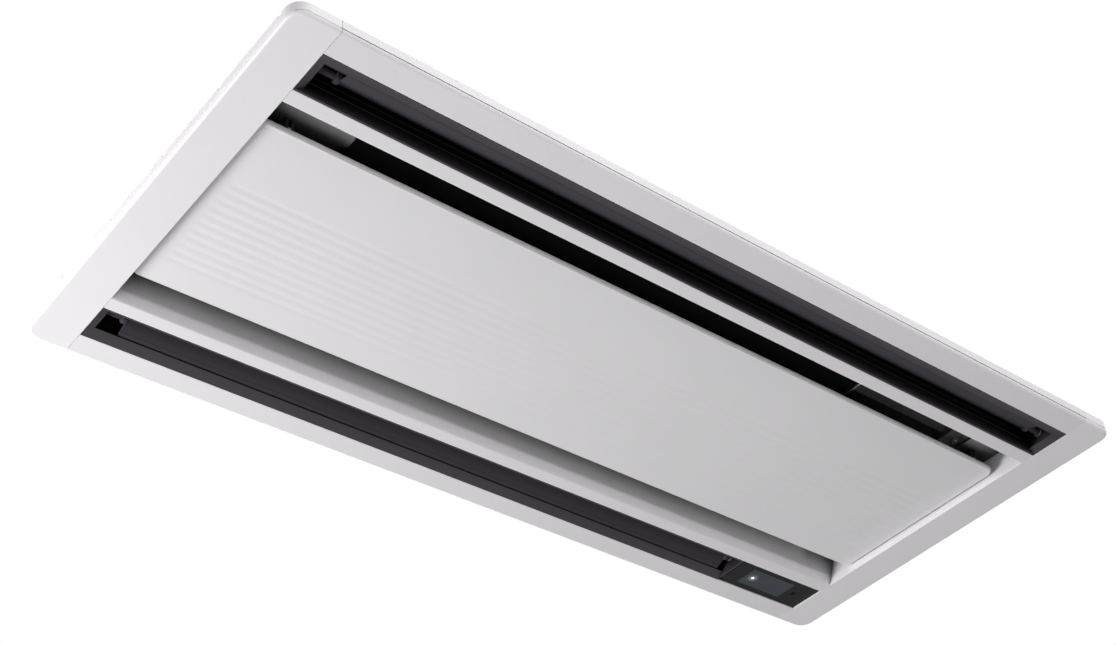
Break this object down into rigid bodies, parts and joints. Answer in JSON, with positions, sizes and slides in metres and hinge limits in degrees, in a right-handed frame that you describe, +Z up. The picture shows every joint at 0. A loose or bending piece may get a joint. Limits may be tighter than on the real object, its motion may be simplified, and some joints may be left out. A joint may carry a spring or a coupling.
{
  "type": "ceiling cassette air conditioner",
  "caption": "Long ceiling cassette that draws air past a central inlet plate and blows it from a swinging flap along each long side",
  "frame": {"origin": "middle of the panel's visible face, which is the unit's lowest plane; the ceiling is about 20 mm above it and the hung body rises from there", "axes": "+X along the panel, +Y towards the outlet that carries the signal receiver, +Z up"},
  "size_m": [1.46, 0.68, 0.323],
  "materials": {
    "white_trim": "satin white moulded plastic",
    "plate_white": "satin white moulded plastic",
    "black_plastic": "fine grained black plastic",
    "flap_grey": "satin charcoal plastic",
    "window": "tinted gloss window",
    "led": "clear white lens",
    "galvanised": "galvanised sheet",
    "zinc": "zinc plated steel",
    "foam_grey": "closed cell foam",
    "pan_foam": "moulded charcoal foam",
    "fan_plastic": "black fan plastic",
    "motor": "satin grey can",
    "fins": "bare aluminium fins",
    "copper": "drawn copper",
    "brass": "turned brass",
    "board": "green circuit board",
    "grey_plastic": "satin grey plastic",
    "filter": "grey filter net"
  },
  "bodies": {
    "cassette": {"bellmouth_left": "black_plastic", "bellmouth_right": "black_plastic", "box_bracket": "zinc", "bracket_screw": "zinc", "cable_gland": "black_plastic", "casing_end_left": "galvanised", "casing_end_right": "galvanised", "casing_side_front": "galvanised", "casing_side_rear": "galvanised", "casing_top": "galvanised", "coil_front": "fins", "coil_rear": "fins", "control_board": "board", "control_box": "galvanised", "control_box_cover": "galvanised", "drain_pan": "pan_foam", "drain_pump": "grey_plastic", "drain_spigot": "grey_plastic", "duct_liner_front": "foam_grey", "duct_liner_rear": "foam_grey", "end_cap_left": "white_trim", "end_cap_right": "white_trim", "fan_motor_left": "motor", "fan_motor_right": "motor", "flap_bush_front": "flap_grey", "flap_bush_rear": "flap_grey", "flap_motor_front": "galvanised", "flap_motor_rear": "galvanised", "gas_flare_nut": "brass", "gas_pipe": "copper", "hanger_bracket_front_left": "galvanised", "hanger_bracket_front_right": "galvanised", "hanger_bracket_rear_left": "galvanised", "hanger_bracket_rear_right": "galvanised", "inner_rail_front": "white_trim", "inner_rail_rear": "white_trim", "ledge_screw": "zinc", "liquid_flare_nut": "brass", "liquid_pipe": "copper", "outer_rail_front": "white_trim", "outer_rail_rear": "white_trim", "outlet_frame_front": "black_plastic", "outlet_frame_rear": "black_plastic", "panel_base_frame": "white_trim", "panel_seal": "foam_grey", "receiver_board": "board", "receiver_cover": "black_plastic", "receiver_window": "window", "status_led": "led", "terminal_block": "grey_plastic", "vane_rack_front": "black_plastic", "vane_rack_rear": "black_plastic"},
    "flap_front_body": {"flap_front": "flap_grey"},
    "flap_rear_body": {"flap_rear": "flap_grey"},
    "grille_body": {"intake_grille": "plate_white"},
    "filter_body": {"air_filter": "filter"},
    "fan_left_body": {"fan_left": "fan_plastic"},
    "fan_right_body": {"fan_right": "fan_plastic"},
    "float_body": {"pump_float": "pan_foam"},
    "button_body": {"receiver_button": "black_plastic"}
  },
  "joints": [
    {"name": "flap_front_swing", "type": "hinge", "parent": "cassette", "child": "flap_front_body", "pos_m": [0, -0.2615, 0.0235], "axis": [-1, 0, 0], "range_deg": [-34, 34]},
    {"name": "flap_rear_swing", "type": "hinge", "parent": "cassette", "child": "flap_rear_body", "pos_m": [0, 0.2615, 0.0235], "axis": [1, 0, 0], "range_deg": [-34, 34]},
    {"name": "grille_swing", "type": "hinge", "parent": "cassette", "child": "grille_body", "pos_m": [0, -0.152, 0.025], "axis": [-1, 0, 0], "range_deg": [0, 78]},
    {"name": "filter_release", "type": "slide", "parent": "cassette", "child": "filter_body", "axis": [0, 0, -1], "range_m": [0, 0.009]},
    {"name": "fan_left_spin", "type": "hinge", "parent": "cassette", "child": "fan_left_body", "pos_m": [-0.33, 0, 0.16], "axis": [0, 0, 1], "continuous": true},
    {"name": "fan_right_spin", "type": "hinge", "parent": "cassette", "child": "fan_right_body", "pos_m": [0.1, 0, 0.16], "axis": [0, 0, 1], "continuous": true},
    {"name": "float_rise", "type": "slide", "parent": "cassette", "child": "float_body", "axis": [0, 0, 1], "range_m": [0, 0.012]},
    {"name": "button_press", "type": "slide", "parent": "cassette", "child": "button_body", "axis": [0, 0, 1], "range_m": [0, 0.0008], "stiffness_N_per_m": 800, "springref_m": -0.0004}
  ]
}
